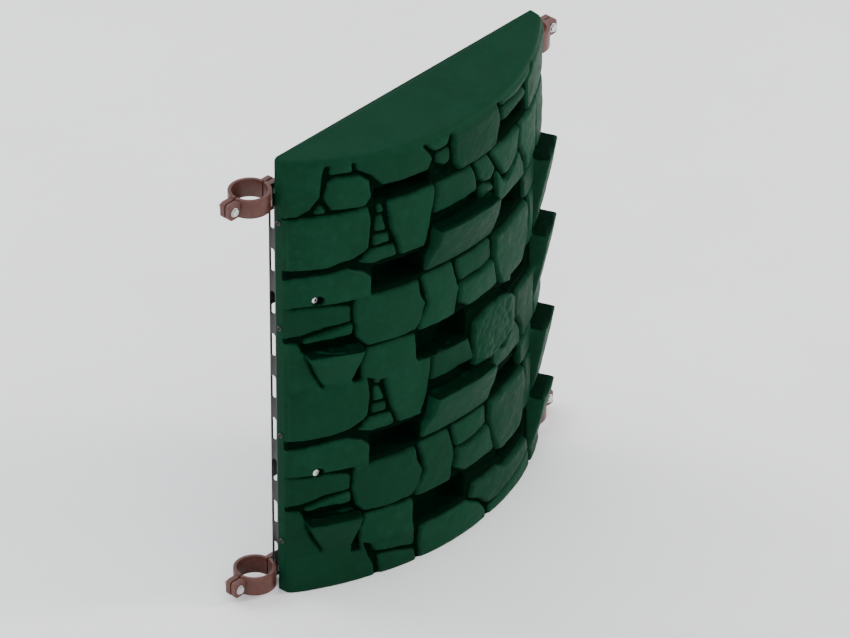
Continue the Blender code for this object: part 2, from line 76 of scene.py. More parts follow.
# name: (outline, height of the stone above the wall's curve in mm, lean outwards at its top in mm)
COURSE = {
    "slab": ([(0.5, 37.5), (4.6, 37.4), (7.0, 38.0), (8.4, 38.9), (8.6, 41.4), (8.3, 43.3),
        (0.5, 43.1)], 9, -4),
    "below_slab": ([(0.5, 33.1), (8.7, 33.1), (8.7, 35.2), (7.9, 36.0), (6.4, 36.7), (4.4, 36.5),
        (0.5, 36.3)], 4, -3),
    "band": ([(0.5, 29.7), (2.4, 29.8), (4.4, 30.5), (6.8, 30.7), (6.8, 32.3), (5.0, 32.8),
        (0.5, 32.9)], 3, 0),
    "sliver": ([(2.7, 29.1), (4.6, 29.9), (6.9, 30.4), (6.9, 29.2), (5.0, 29.0)], 4, 2),
    "edge_post": ([(0.5, 23.4), (4.3, 23.4), (3.4, 25.4), (2.7, 27.9), (2.3, 28.9), (0.5, 29.3)], 2, 0),
    "keystone": ([(2.9, 27.75), (7.9, 27.75), (7.6, 26.2), (6.8, 23.5), (4.5, 23.5), (3.8, 25.2)], 1, 30),
    "round": ([(7.2, 33.0), (13.7, 33.1), (13.9, 31.6), (14.5, 30.2), (14.0, 28.6), (13.3, 27.6),
        (10.4, 27.4), (8.3, 27.6), (7.4, 28.6), (7.1, 30.6)], 5, 1),
    "waist": ([(14.0, 33.4), (17.7, 33.3), (18.3, 31.6), (18.7, 30.0), (18.4, 28.3), (18.2, 27.1),
        (13.8, 27.2), (13.8, 28.0), (14.8, 29.8), (14.6, 31.4)], 4, 0),
    "small_high": ([(18.2, 33.3), (23.4, 33.3), (23.5, 31.2), (21.5, 30.8), (18.9, 30.7)], 4, -2),
    "small_low": ([(18.9, 30.3), (21.4, 30.4), (23.7, 30.8), (24.3, 28.9), (24.9, 27.3), (20.2, 27.2),
        (18.9, 28.3)], 4, 5),
    "oval": ([(24.0, 33.2), (30.6, 33.4), (31.2, 31.2), (30.9, 28.6), (29.8, 26.9), (27.6, 26.1),
        (25.7, 26.7), (24.6, 28.7), (24.0, 30.8)], 6, 4),
    "ledge": ([(14.4, 33.8), (23.6, 33.8), (24.0, 36.2), (23.5, 38.6), (20.5, 38.65), (15.3, 38.65),
        (15.2, 36.7), (14.5, 35.3)], 2, 34),
    "under_sill": ([(15.5, 43.4), (20.1, 43.4), (20.6, 42.0), (21.0, 40.3), (15.3, 40.2),
        (15.5, 41.6)], 5, 1),
    "wedge": ([(10.1, 43.4), (15.3, 43.4), (15.2, 41.4), (14.7, 38.8), (14.2, 36.9), (11.7, 36.9),
        (11.2, 38.4), (10.5, 40.8)], 6, 0),
    "beside_key": ([(8.3, 27.1), (13.4, 27.0), (13.6, 23.2), (9.6, 23.1), (7.8, 23.9),
        (7.9, 25.6)], 5, 0),
    "ladder_top": ([(9.15, 42.3), (9.8, 42.3), (9.5, 43.3), (9.1, 43.3)], 0, 0),
    "ladder_high": ([(9.0, 40.3), (10.1, 40.3), (9.6, 42.0), (9.05, 42.0)], 1, 0),
    "ladder_low": ([(8.9, 38.8), (10.5, 38.8), (10.3, 39.9), (8.9, 39.9)], 1, 0),
    "ladder_foot": ([(7.3, 37.4), (8.7, 38.4), (10.9, 38.4), (11.3, 37.0), (8.9, 36.8)], 3, 0),
    "patch_a": ([(20.6, 43.4), (22.7, 43.4), (23.9, 41.3), (23.1, 40.3), (22.0, 40.5),
        (21.3, 41.2)], 3, 0),
    "patch_b": ([(21.4, 40.2), (22.2, 40.2), (23.6, 39.5), (23.9, 38.9), (21.6, 38.9)], 2, 0),
    "patch_c": ([(23.1, 43.4), (28.4, 43.4), (28.1, 41.0), (26.4, 39.4), (25.5, 39.6),
        (24.4, 41.3)], 5, 0),
    "patch_d": ([(24.3, 40.5), (25.3, 39.0), (26.2, 38.7), (28.3, 40.6), (29.8, 38.4), (30.0, 36.8),
        (24.4, 36.8)], 4, 2),
    "patch_e": ([(28.7, 43.4), (33.3, 43.4), (33.1, 40.6), (33.4, 37.4), (30.4, 37.0), (30.1, 38.8),
        (28.6, 40.9)], 4, 3),
    "beside_pocket": ([(29.8, 36.5), (33.1, 37.0), (33.0, 33.8), (31.0, 33.6), (29.8, 34.0)], 3, 0),
    "beside_oval": ([(31.5, 33.3), (33.1, 33.4), (33.2, 27.4), (31.5, 27.3), (31.5, 29.0),
        (31.8, 31.0)], 2, 0),
    "end_post": ([(33.7, 43.3), (38.0, 43.3), (38.0, 36.9), (33.9, 37.0)], 3, 0),
}
TOP_BAND = {
    "corner": ([(0.5, 43.5), (2.3, 43.5), (3.3, 44.3), (4.0, 45.4), (4.2, 46.8), (4.5, 50.0),
        (0.5, 50.0)], 4, 0),
    "chip": ([(3.5, 43.6), (4.7, 43.5), (4.1, 44.8)], 1, 0),
    "hexagon": ([(4.4, 45.2), (5.1, 43.8), (8.0, 43.6), (8.6, 44.6), (8.3, 46.4), (7.4, 47.2),
        (5.3, 47.4), (4.7, 46.9)], 5, 0),
    "strip": ([(4.9, 47.8), (6.8, 47.8), (6.7, 50.0), (4.9, 50.0)], 3, 0),
    "lintel": ([(7.2, 47.9), (8.6, 46.9), (9.6, 45.5), (14.3, 45.5), (14.9, 46.8), (13.9, 48.4),
        (12.9, 50.0), (7.2, 50.0)], 5, 0),
    "pair_high": ([(13.4, 50.0), (14.5, 48.2), (15.3, 47.3), (16.7, 47.3), (17.2, 48.4),
        (17.3, 50.0)], 3, 0),
    "pair_low": ([(15.4, 46.9), (17.1, 46.9), (17.2, 45.7), (16.5, 45.2), (15.5, 45.9)], 2, 0),
    "boulder": ([(17.6, 50.0), (23.2, 50.0), (24.2, 48.0), (24.6, 46.3), (23.8, 44.1), (22.5, 43.8),
        (18.4, 43.9), (17.8, 45.0), (17.5, 47.0)], 7, 0),
    "cap_stone": ([(23.7, 50.0), (31.6, 50.0), (30.8, 48.1), (29.5, 47.7), (27.0, 47.6),
        (24.9, 47.8)], 4, 0),
    "above_pocket": ([(24.9, 47.3), (29.3, 47.3), (30.0, 46.3), (24.9, 46.1)], 3, 0),
    "end_cap": ([(30.4, 47.4), (31.3, 47.8), (32.1, 50.0), (38.0, 50.0), (38.0, 43.8), (30.7, 43.8),
        (30.4, 45.4)], 4, 0),
}
FOOT_BAND = {
    "foot_left": ([(0.5, -1.0), (9.3, -1.0), (9.2, 1.0), (8.5, 2.7), (8.1, 4.2), (0.5, 4.2)], 3, 0),
    "foot_key": ([(8.7, 4.5), (13.7, 4.5), (13.7, 2.0), (11.5, 2.4), (9.3, 3.0)], 5, 0),
    "foot_chip": ([(9.6, 2.3), (13.8, 1.3), (14.0, -1.0), (10.0, -1.0)], 3, 0),
    "foot_middle": ([(14.3, 3.6), (20.7, 3.6), (22.6, 2.4), (23.8, 1.0), (23.8, -1.0),
        (14.5, -1.0)], 4, 0),
    "foot_shelf": ([(21.2, 3.7), (21.6, 5.2), (25.6, 5.0), (26.8, 4.3), (31.8, 4.4), (32.6, 2.6),
        (26.0, 1.3), (24.3, 1.4), (22.7, 2.9)], 5, 2),
    "foot_right": ([(24.4, -1.0), (33.3, -1.0), (33.0, 2.2), (26.4, 0.9), (24.4, 0.8)], 3, 0),
    "foot_end": ([(33.7, 2.6), (38.0, 2.6), (38.0, -1.0), (33.9, -1.0)], 2, 0),
}

LEDGE_TOPS = (27.75, 8.15, 38.65, 19.05)

# One pitted stone, which takes the place of these in the lower course
CRATER = [(21.0, 19.7), (23.9, 19.3), (28.2, 20.4), (28.6, 23.4), (27.2, 24.9), (23.4, 25.2), (21.2, 24.5)]
CRATER_TAKES = ("patch_a", "patch_b", "patch_c")

# Deep shadowed hollows between stones: name: (outline, depth below the wall's curve in mm)
COURSE_HOLLOWS = {
    "under_slab": ([(2.6, 36.8), (4.4, 36.85), (6.6, 37.2), (8.0, 37.6), (7.9, 38.1), (6.8, 37.6),
        (4.6, 37.1)], 15),
    "above_keystone": ([(2.7, 28.0), (7.5, 28.0), (7.0, 29.0), (4.6, 29.2), (2.7, 28.7)], 22),
    "above_ledge": ([(15.3, 38.9), (21.1, 38.9), (21.2, 39.9), (15.5, 39.9)], 22),
    "beside_ledge": ([(14.0, 35.9), (14.7, 36.4), (15.1, 38.8), (14.7, 38.6)], 20),
    "beside_keystone": ([(6.9, 22.9), (7.8, 23.0), (7.6, 24.8), (7.2, 24.6)], 20),
    "under_small_low": ([(20.2, 26.8), (24.4, 26.6), (25.6, 26.0), (27.0, 25.7), (27.0, 25.0),
        (25.2, 25.4), (20.4, 26.3)], 20),
    "beside_patch": ([(29.2, 36.5), (29.8, 36.3), (29.9, 34.0), (29.5, 34.0)], 14),
}
TOP_HOLLOWS = {
    "under_pair": ([(15.0, 43.9), (17.2, 43.9), (17.4, 45.2), (16.6, 44.8), (15.6, 45.2)], 18),
}

# The teeth down the right edge, as the CAD has them, in metres: top, height
TEETH = ((0.925, 0.218), (0.699, 0.218), (0.419, 0.206), (0.206, 0.170))
TOOTH_X = (0.350, 0.450)
TOOTH_LEAN = 0.042

# Pockets, as the CAD has them, in metres: left, right, sill, head
POCKET_DEPTH = 0.045
POCKETS = (
    (-0.265, -0.110, 1.110, 1.146),
    (0.126, 0.271, 1.118, 1.163),
    (-0.267, -0.128, 0.851, 0.922),
    (0.124, 0.253, 0.864, 0.925),
    (-0.140, 0.025, 0.599, 0.683),
    (0.195, 0.322, 0.627, 0.686),
    (-0.267, -0.128, 0.353, 0.424),
    (0.136, 0.271, 0.356, 0.404),
    (-0.138, 0.034, 0.103, 0.186),
    (0.190, 0.322, 0.127, 0.178),
)
FACE_BOLTS = {-1: (0.348, 0.856), 1: (0.236, 0.740)}
FACE_BOLT_U = 0.1025
FACE_SEAT_V = 0.112
BOLT_RECESS = 0.0135

GROOVE_DEPTH = 0.0085
STONE_GROW = 0.0012          # the grooves are this much narrower on each side than the layout draws them
STONE_ROUND = 0.006          # radius of a stone's corners, seen from the front
STONE_EDGE = 0.0050          # width of the rounding along a stone's edge
LEDGE_EDGE = 0.0045
LEANING = 0.02               # a stone that leans more than this is a ledge, with sharper edges
HOLLOW_EDGE = 0.007
POCKET_EDGE = 0.0045
POCKET_CORNER = 0.006
ARC_LENGTH = 0.98            # round the face, near enough to count its columns
CELL = 0.0027
COARSE = 2                   # the inner skin has one vertex for this many of the outer skin's
SIDE_COLUMNS = 12            # points across each side return
CORNER = 0.011               # radius of the shell's upright corners and of its top edge
TOP_EDGE_TURNS = (54, 63, 72, 81, 90)
RELIEF_TOP_GAP = 0.009       # the relief stops this far below the top
RELIEF_TOP_FADE = 0.016


def sagitta(z):
    return SAGITTA_BASE + (SAGITTA_TOP - SAGITTA_BASE) * z / TOP_RIM


def face_v(x, z, inset=0.0):
    depth = sagitta(z)
    radius = (HALF ** 2 + depth ** 2) / (2 * depth)
    return CHORD_V + depth - radius + np.sqrt((radius - inset) ** 2 - x ** 2)


def arc_radius(z):
    depth = sagitta(z)
    return (HALF ** 2 + depth ** 2) / (2 * depth)


def top_z(v):
    slope = (TOP_BACK - TOP_RIM) / (CHORD_V + SAGITTA_TOP - BACK_V)
    return TOP_BACK - slope * (v - BACK_V)


# Height map

def value_noise(x, z, size, seed):
    """Smooth noise from -1 to 1 whose lumps are about one size across."""
    table = np.random.default_rng(seed).uniform(-1, 1, (64, 64))
    gx, gz = x / size + 17.3, z / size + 5.1
    ix, iz = np.floor(gx).astype(int), np.floor(gz).astype(int)
    fx, fz = gx - ix, gz - iz
    fx, fz = smooth_step(fx), smooth_step(fz)
    corner = [table[(iz + b) % 64, (ix + a) % 64] for b in (0, 1) for a in (0, 1)]
    low = corner[0] * (1 - fx) + corner[1] * fx
    high = corner[2] * (1 - fx) + corner[3] * fx
    return low * (1 - fz) + high * fz


def inset_outline(points, inset):
    """An outline moved inwards, each corner to where its two moved sides meet."""
    area = sum(a[0] * b[1] - b[0] * a[1] for a, b in zip(points, points[1:] + points[:1]))
    if area < 0:
        points = points[::-1]
    moved = []
    for before, here, after in zip(points[-1:] + points[:-1], points, points[1:] + points[:1]):
        one = np.array(here) - before
        two = np.array(after) - here
        one, two = one / np.hypot(*one), two / np.hypot(*two)
        left_one, left_two = np.array((-one[1], one[0])), np.array((-two[1], two[0]))
        share = inset / max(0.35, 1 + left_one @ left_two)
        moved.append(tuple(np.array(here) + (left_one + left_two) * share))
    return moved


def outline_distance(points, x, z):
    """Distance to an outline, negative inside it."""
    nearest = np.full(x.shape, 1e9)
    inside = np.zeros(x.shape, bool)
    for (x0, z0), (x1, z1) in zip(points, points[1:] + points[:1]):
        ex, ez = x1 - x0, z1 - z0
        wx, wz = x - x0, z - z0
        along = limited((wx * ex + wz * ez) / (ex * ex + ez * ez))
        nearest = np.minimum(nearest, (wx - ex * along) ** 2 + (wz - ez * along) ** 2)
        if ez:
            crosses = ((z0 <= z) & (z < z1)) | ((z1 <= z) & (z < z0))
            inside ^= crosses & (wx < ex * wz / ez)
    return np.where(inside, -np.sqrt(nearest), np.sqrt(nearest))


def all_stones():
    """Every stone as (outline in metres, height, lean)."""
    layers = [(COURSE, 0.0), (COURSE, -COURSE_RISE), (TOP_BAND, 0.0), (FOOT_BAND, 0.0)]
    for stones, lift in layers:
        for name, (outline, height, lean) in stones.items():
            if lift and name in CRATER_TAKES:
                continue
            yield ([((x - LAYOUT_MIDDLE) * INCH, (z + lift) * INCH) for x, z in outline],
                   height / 1000, lean / 1000)
    yield [((x - LAYOUT_MIDDLE) * INCH, z * INCH) for x, z in CRATER], 0.008, 0.0
    left, right = TOOTH_X
    for top, tall in TEETH:
        foot = top - tall
        yield [(left, top), (right, top), (right, foot), (left + 0.012, foot)], 0.002, TOOTH_LEAN


def all_hollows():
    for hollows, lift in ((COURSE_HOLLOWS, 0.0), (COURSE_HOLLOWS, -COURSE_RISE), (TOP_HOLLOWS, 0.0)):
        for outline, depth in hollows.values():
            yield [((x - LAYOUT_MIDDLE) * INCH, (z + lift) * INCH) for x, z in outline], depth / 1000


def limited(t):
    """A value held between 0 and 1."""
    return np.clip(t, 0, 1)


def smooth_step(t):
    t = limited(t)
    return t * t * (3 - 2 * t)


def rounded_step(t):
    t = limited(t)
    return np.sqrt(np.maximum(0, 1 - (1 - t) ** 2))


def sway(x, z, seed):
    """How far the stones' sides wander from straight lines."""
    return 0.0022 * value_noise(x, z, 0.045, seed) + 0.0010 * value_noise(x, z, 0.016, seed + 1)


def height_map(x, z):
    """How far the skin stands out from the wall's curve, with the rubbed wear and painted highlight along the
    stones' edges, and each stone's tone.
    """
    sway_x, sway_z = sway(x, z, SEED), sway(x, z, SEED + 2)
    sx, sz = x + sway_x, z + sway_z
    height = np.full(x.shape, -GROOVE_DEPTH)
    wear_and_highlight = np.zeros(x.shape)
    tone = np.zeros(x.shape)
    draw = np.random.default_rng(SEED)
    for outline, rise, lean in all_stones():
        tilt_x, tilt_z, shade = draw.uniform(-1, 1, 3)
        xs, zs = [p[0] for p in outline], [p[1] for p in outline]
        near = ((x > min(xs) - 0.01) & (x < max(xs) + 0.01) & (z > min(zs) - 0.01) & (z < max(zs) + 0.01))
        if not near.any():
            continue
        px, pz = sx[near], sz[near]
        if lean > LEANING:
            pz = z[near] + sway_z[near] * 0.15
        round_by = min(STONE_ROUND, 0.2 * min(max(xs) - min(xs), max(zs) - min(zs)))
        gap = outline_distance(inset_outline(outline, round_by), px, pz) - round_by - STONE_GROW
        edge = min(STONE_EDGE, 2.2 * round_by) if lean < LEANING else LEDGE_EDGE
        side = rounded_step(-gap / edge)
        mid_x, mid_z = (max(xs) + min(xs)) / 2, (max(zs) + min(zs)) / 2
        span_x, span_z = (max(xs) - min(xs)) / 2, (max(zs) - min(zs)) / 2
        fx, fz = (px - mid_x) / span_x, (pz - mid_z) / span_z
        top = rise + 0.0016 * (tilt_x * fx + tilt_z * fz) + lean * limited((fz + 1) / 2)
        top = top + 0.0030 * (1 - limited(np.maximum(abs(fx), abs(fz))) ** 2.5) - 0.0010
        level = -GROOVE_DEPTH + (top + GROOVE_DEPTH) * side
        here = height[near]
        higher = level > here
        height[near] = np.where(higher, level, here)
        # Rubbed wear along each stone's edge, which is also a painted highlight there
        rim = np.exp(-((-gap - 0.55 * edge) / (0.45 * edge)) ** 2)
        wear_and_highlight[near] = np.where(higher, rim, wear_and_highlight[near])
        tone[near] = np.where(higher & (gap < 0), shade, tone[near])
    for outline, depth in all_hollows():
        gap = outline_distance(outline, sx, sz)
        sunk = rounded_step(-gap / HOLLOW_EDGE + 0.2) * limited((0.004 - height) / 0.006)
        height = np.minimum(height, -GROOVE_DEPTH - (depth - GROOVE_DEPTH) * sunk + 99 * (sunk <= 0))
    crater = outline_distance([((px - LAYOUT_MIDDLE) * INCH, pz * INCH) for px, pz in CRATER], x, z)
    pits = value_noise(x, z, 0.014, SEED + 9) + 0.5 * value_noise(x, z, 0.007, SEED + 10)
    height = height + 0.0030 * np.clip(pits, -1.2, 0.4) * limited(-crater / 0.010)
    stone = limited((height + GROOVE_DEPTH) / GROOVE_DEPTH)
    height = height + stone * (0.0011 * value_noise(x, z, 0.034, SEED + 4)
                               + 0.0006 * value_noise(x, z, 0.012, SEED + 5)
                               + 0.00025 * value_noise(x, z, 0.0065, SEED + 6))
    return height, wear_and_highlight, tone


def softened(grid):
    """Each value averaged a little with its neighbours, so slanting edges don't show the grid's steps."""
    for axis in range(2):
        padded = np.pad(grid, ((1, 1), (0, 0)), mode="edge")
        grid = ((padded[:-2] + 2 * grid + padded[2:]) / 4).T
    return grid


def carve_pockets(x, z, height, angle):
    """Sinks the pockets into the height map. Also gives how deep into a pocket each point is, from 0 to 1."""
    deep = np.zeros(x.shape)
    for left, right, sill, head in POCKETS:
        ends = [face_v(np.float64(side), sill) for side in (left, right)]
        floor = (min(ends) - POCKET_DEPTH - face_v(x, z)) * np.cos(angle)
        jog = 0.0012 * value_noise(x, z, 0.030, SEED + 7)
        out_x = np.maximum(left - x, x - right) + jog
        out_z = np.maximum(sill - z, z - head) + jog
        corner = POCKET_CORNER
        gap = np.hypot(np.maximum(out_x + corner, 0), np.maximum(out_z + corner, 0)) - corner
        gap = np.where((out_x < -corner) & (out_z < -corner), np.maximum(out_x, out_z), gap)
        mouth = smooth_step(-gap / POCKET_EDGE)
        height = height * (1 - mouth) + floor * mouth
        deep = np.maximum(deep, mouth)
    return height, deep


def sink_bolts(x, z, height, angle):
    """Flat round seats for the face bolts."""
    for side, levels in FACE_BOLTS.items():
        for level in levels:
            ring = np.hypot(x - side * (POST_X - FACE_BOLT_U), z - level)
            seat = (FACE_SEAT_V + 0.0002 - face_v(x, z)) * np.cos(angle)
            dish = smooth_step((BOLT_RECESS + 0.002 - ring) / 0.003)
            height = height * (1 - dish) + seat * dish
    return height


# Mesh

def face_columns(count):
    """Points across the face, evenly spaced round the arc."""
    radius = arc_radius(TOP_RIM / 2)
    limit = math.asin(HALF / radius)
    return radius * np.sin(np.linspace(-limit, limit, count + 1))


def plan_row(columns, z, inset):
    """One level of the shell in plan: left return, face and right return, with its two corners rounded."""
    half = HALF - inset
    x_face = columns * half / HALF
    v_face = face_v(x_face, z, inset)
    share = np.linspace(0, 1, SIDE_COLUMNS + 1)[:-1]
    x = np.concatenate((np.full(SIDE_COLUMNS, -half), x_face, np.full(SIDE_COLUMNS, half)))
    v_side = BACK_V + (v_face[0] - BACK_V) * share
    v = np.concatenate((v_side, v_face, v_side[::-1]))
    reach = SIDE_COLUMNS // 2
    kernel = np.exp(-0.5 * (np.arange(-reach, reach + 1) / (reach / 2.4)) ** 2)
    kernel /= kernel.sum()
    ends = []
    for line in (x, v):
        before = 2 * line[0] - line[reach:0:-1]
        after = 2 * line[-1] - line[-2:-reach - 2:-1]
        ends.append(np.convolve(np.concatenate((before, line, after)), kernel, "valid"))
    return ends[0], ends[1]


class Gather:
    """Collects grids of points and the faces between them, with the values each point carries."""

    def __init__(self):
        self.points, self.marks, self.faces = [], [], []
        self.count = 0

    def add(self, points, marks=None):
        """Adds points of any grid shape, and gives their numbers in the same shape."""
        shape = points.shape[:-1]
        total = int(np.prod(shape))
        self.points.append(points.reshape(-1, 3))
        self.marks.append(np.zeros((total, 3)) if marks is None else marks.reshape(-1, 3))
        index = self.count + np.arange(total).reshape(shape)
        self.count += total
        return index

    def skin(self, index, flip):
        a, b, c, d = index[:-1, :-1], index[:-1, 1:], index[1:, 1:], index[1:, :-1]
        order = (a, d, c, b) if flip else (a, b, c, d)
        self.faces += np.stack(order, -1).reshape(-1, 4).tolist()

    def zip(self, fine, coarse, flip):
        """Closes the gap between an edge and one with fewer points."""
        step = (len(fine) - 1) // (len(coarse) - 1)
        for k in range(len(coarse) - 1):
            face = [int(i) for i in fine[k * step:(k + 1) * step + 1]] + [int(coarse[k + 1]), int(coarse[k])]
            self.faces.append(face[::-1] if flip else face)

    def mesh(self, name):
        mesh = bpy.data.meshes.new(name)
        points = np.concatenate(self.points)
        mesh.from_pydata(points.tolist(), [], self.faces)
        marks = np.concatenate(self.marks)
        for k, kind in enumerate(("wear_and_highlight", "painted_shade", "tone")):
            mesh.attributes.new(kind, "FLOAT", "POINT").data.foreach_set(
                "value", marks[:, k].astype(np.float32))
        mesh.validate()
        work = bmesh.new()
        work.from_mesh(mesh)
        bmesh.ops.recalc_face_normals(work, faces=work.faces)
        work.to_mesh(mesh)
        work.free()
        mesh.shade_smooth()
        return mesh


def levels_up_the_face(count):
    """Shares of the height for the rows, closer together at the tops of the ledges."""
    even = np.linspace(0, 1, count + 1)
    tops = [z * INCH for z in LEDGE_TOPS] + [top for top, tall in TEETH] + [TOP_RIM - 0.003]
    weight = np.full(count, 1.0)
    middle = (even[1:] + even[:-1]) / 2 * TOP_RIM
    for top in tops:
        weight -= 0.62 * np.exp(-((middle - top + 0.002) / 0.006) ** 2)
    total = np.concatenate(([0], np.cumsum(weight)))
    return total / total[-1]


def shell_sheet(columns, shares, heights, inset, low, drop):
    """Points of the upright skin, from its foot to its top edge, standing out from the curve by heights."""
    radius = arc_radius(TOP_RIM / 2)
    rows = []
    for j, share in enumerate(shares):
        x, v = plan_row(columns, share * TOP_RIM, inset)
        z = low + share * (top_z(v) - drop - low)
        angle = np.arcsin(np.clip(x / radius, -1, 1))
        out_x, out_v = heights[j] * np.sin(angle), heights[j] * np.cos(angle)
        rows.append(np.stack((x + out_x, POST_Y - v - out_v, z), -1))
    return np.array(rows)


def top_sheet(gather, ring, side_count, face_count, drop):
    """The top, from a ring of points round its front and sides back to its rear edge. Gives its numbers."""
    front = np.concatenate(gather.points)[ring[side_count:side_count + face_count + 1]]
    index = np.zeros((side_count + 1, face_count + 1), int)
    index[0] = ring[side_count:side_count + face_count + 1]
    index[:, 0] = ring[side_count::-1]
    index[:, -1] = ring[side_count + face_count:]
    share = np.linspace(0, 1, side_count + 1)[1:, None]
    x = np.repeat(front[None, 1:-1, 0], side_count, 0)
    v_front = POST_Y - front[None, 1:-1, 1]
    v = v_front + (BACK_V - v_front) * share
    z = top_z(v) - drop + 0.0007 * value_noise(x, v, 0.05, SEED + 8) * np.minimum(1, 4 * (1 - share))
    index[1:, 1:-1] = gather.add(np.stack((x, POST_Y - v, z), -1))
    return index


def lowest_nearby(height, reach):
    """Each point's lowest height within so many rows and columns."""
    padded = np.pad(height, reach, mode="edge")
    rows, columns = height.shape
    return np.minimum.reduce([padded[a:a + rows, b:b + columns]
                              for a in range(2 * reach + 1) for b in range(2 * reach + 1)])


def make_shell():
    gather = Gather()
    face_count = 2 * round(ARC_LENGTH / CELL / 2)
    row_count = 2 * round(TOP_RIM / CELL / 2)
    columns = face_columns(face_count)
    shares = levels_up_the_face(row_count)
    width = face_count + 1 + 2 * SIDE_COLUMNS
    low_edge = CORNER * (1 - math.sin(math.radians(45)))

    plan = [plan_row(columns, share * TOP_RIM, 0.0) for share in shares]
    x = np.array([p[0] for p in plan])
    v = np.array([p[1] for p in plan])
    z = shares[:, None] * (top_z(v) - low_edge)
    angle = np.arcsin(np.clip(x / arc_radius(TOP_RIM / 2), -1, 1))
    height, wear_and_highlight, tone = (softened(grid) for grid in height_map(x, z))
    height, deep = carve_pockets(x, z, height, angle)
    height = sink_bolts(x, z, height, angle)
    to_top = smooth_step((top_z(v) - z - RELIEF_TOP_GAP) / RELIEF_TOP_FADE)
    height = height * to_top + 0.001 * (1 - to_top)
    column = np.arange(width)
    inner = np.minimum(column, width - 1 - column) - SIDE_COLUMNS
    # The relief ends short of the side angles, and its painted shade runs on round the corners
    to_side = limited((inner - 1) / 3.0)
    round_corner = limited((inner + 5) / 3.0)
    # Painted shade: darker the lower a point lies, darkest in the hollows, all through the pockets and on the
    # ledges' tops
    painted_shade = 0.70 * limited(-height / GROOVE_DEPTH)
    painted_shade = painted_shade + 0.30 * limited((-height - GROOVE_DEPTH) / 0.008)
    height = height * to_side * (0.5 + 0.5 * limited(z / 0.010))
    sine = limited(1 - (top_z(v) - z) / CORNER)
    bend = CORNER * (1 - np.sqrt(1 - sine ** 2))
    # Painted shade on the ledges' tops, where they face up
    facing_up = -np.gradient(height, axis=0) / np.gradient(z, axis=0)
    ledge_top_shade = 0.50 * limited((facing_up - 1.2) / 2.5)
    ledge_top_shade = ledge_top_shade * limited((height + GROOVE_DEPTH) / 0.006)
    painted_shade = limited(np.maximum(np.maximum(deep, painted_shade), ledge_top_shade))
    marks = np.stack((wear_and_highlight * (1 - deep) * to_side * to_top, painted_shade * round_corner,
                      tone * round_corner * to_top), -1)

    on_face = height - bend * (inner >= 0)
    outer = shell_sheet(columns, shares, on_face, 0.0, 0.0, low_edge)
    outer[:, :, 0] -= np.sign(outer[:, :, 0]) * np.where(inner < 0, bend, 0)
    outer_index = gather.add(outer, marks)
    gather.skin(outer_index, False)

    left_edge, right_edge = [], []
    ring = outer_index[-1]
    for turn in TOP_EDGE_TURNS:
        sink = CORNER * (1 - math.sin(math.radians(turn)))
        inset = CORNER * (1 - math.cos(math.radians(turn)))
        ring_x, ring_v = plan_row(columns, TOP_RIM, inset)
        row = np.stack((ring_x, POST_Y - ring_v, top_z(ring_v) - sink), -1)
        after = gather.add(row[None])[0]
        gather.skin(np.stack((ring, after)), False)
        ring = after
        left_edge.append(int(ring[0]))
        right_edge.append(int(ring[-1]))
    top_index = top_sheet(gather, ring, SIDE_COLUMNS, face_count, 0.0)
    gather.skin(top_index, False)

    under = np.where(inner > 1, lowest_nearby(on_face, 2), on_face)
    half_shares = shares[::COARSE]
    inside = shell_sheet(columns, half_shares, under[::COARSE], WALL, WALL, WALL)[:, ::COARSE]
    inner_index = gather.add(inside)
    gather.skin(inner_index, True)
    inner_top = top_sheet(gather, inner_index[-1], SIDE_COLUMNS // COARSE, face_count // COARSE, WALL)
    gather.skin(inner_top, True)

    tips = []
    for level in (0.0, WALL):
        tip_x, tip_v = plan_row(columns, 0.0, FOOT_WIDTH)
        tip = np.stack((tip_x, POST_Y - np.maximum(tip_v, BACK_V), np.full(width, level)), -1)
        tips.append(gather.add(tip[::COARSE]))
    gather.zip(outer_index[0], tips[0], True)
    gather.skin(np.stack((tips[0], tips[1])), True)
    gather.skin(np.stack((tips[1], inner_index[0])), True)
    for side, edge in ((0, left_edge), (-1, right_edge)):
        gather.zip(outer_index[:, side], inner_index[:, side], side == 0)
        gather.faces.append([int(outer_index[-1, side])] + edge + [int(inner_index[-1, side])])
        gather.faces.append([int(i[side]) for i in (outer_index[0], tips[0], tips[1], inner_index[0])])
    gather.zip(top_index[-1], inner_top[-1], False)
    return gather.mesh("wall_skin")


# Small hardware

def show(thing):
    bpy.context.scene.collection.objects.link(thing)


def add_piece(name, mesh, slot, node, smooth=40):
    piece = bpy.data.objects.new(name, mesh)
    show(piece)
    mesh.materials.clear()
    mesh.materials.append(finishes[slot])
    if smooth:
        mesh.shade_smooth()
        mesh.set_sharp_from_angle(angle=math.radians(smooth))
    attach(piece, BODY)
    if node:
        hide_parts(node)
    return piece


def mesh_of(name, work):
    """A mesh of what a bmesh holds, its faces turned outwards. The bmesh is freed."""
    bmesh.ops.recalc_face_normals(work, faces=work.faces)
    mesh = bpy.data.meshes.new(name)
    work.to_mesh(mesh)
    work.free()
    return mesh


def prism(name, outline, low, high):
    """An outline in X and Y, drawn up from one height to another."""
    work = bmesh.new()
    base = [work.verts.new((x, y, low)) for x, y in outline]
    cap = [work.verts.new((x, y, high)) for x, y in outline]
    count = len(outline)
    work.faces.new(base)
    work.faces.new(cap)
    for k in range(count):
        work.faces.new((base[k], base[(k + 1) % count], cap[(k + 1) % count], cap[k]))
    return mesh_of(name, work)


def turned(mesh, matrix):
    mesh.transform(matrix)
    return mesh


def circle(radius, count, start=0.0, sweep=360.0):
    closed = sweep >= 360
    steps = count if closed else count - 1
    return [(radius * math.cos(math.radians(start + sweep * k / steps)),
             radius * math.sin(math.radians(start + sweep * k / steps))) for k in range(count)]


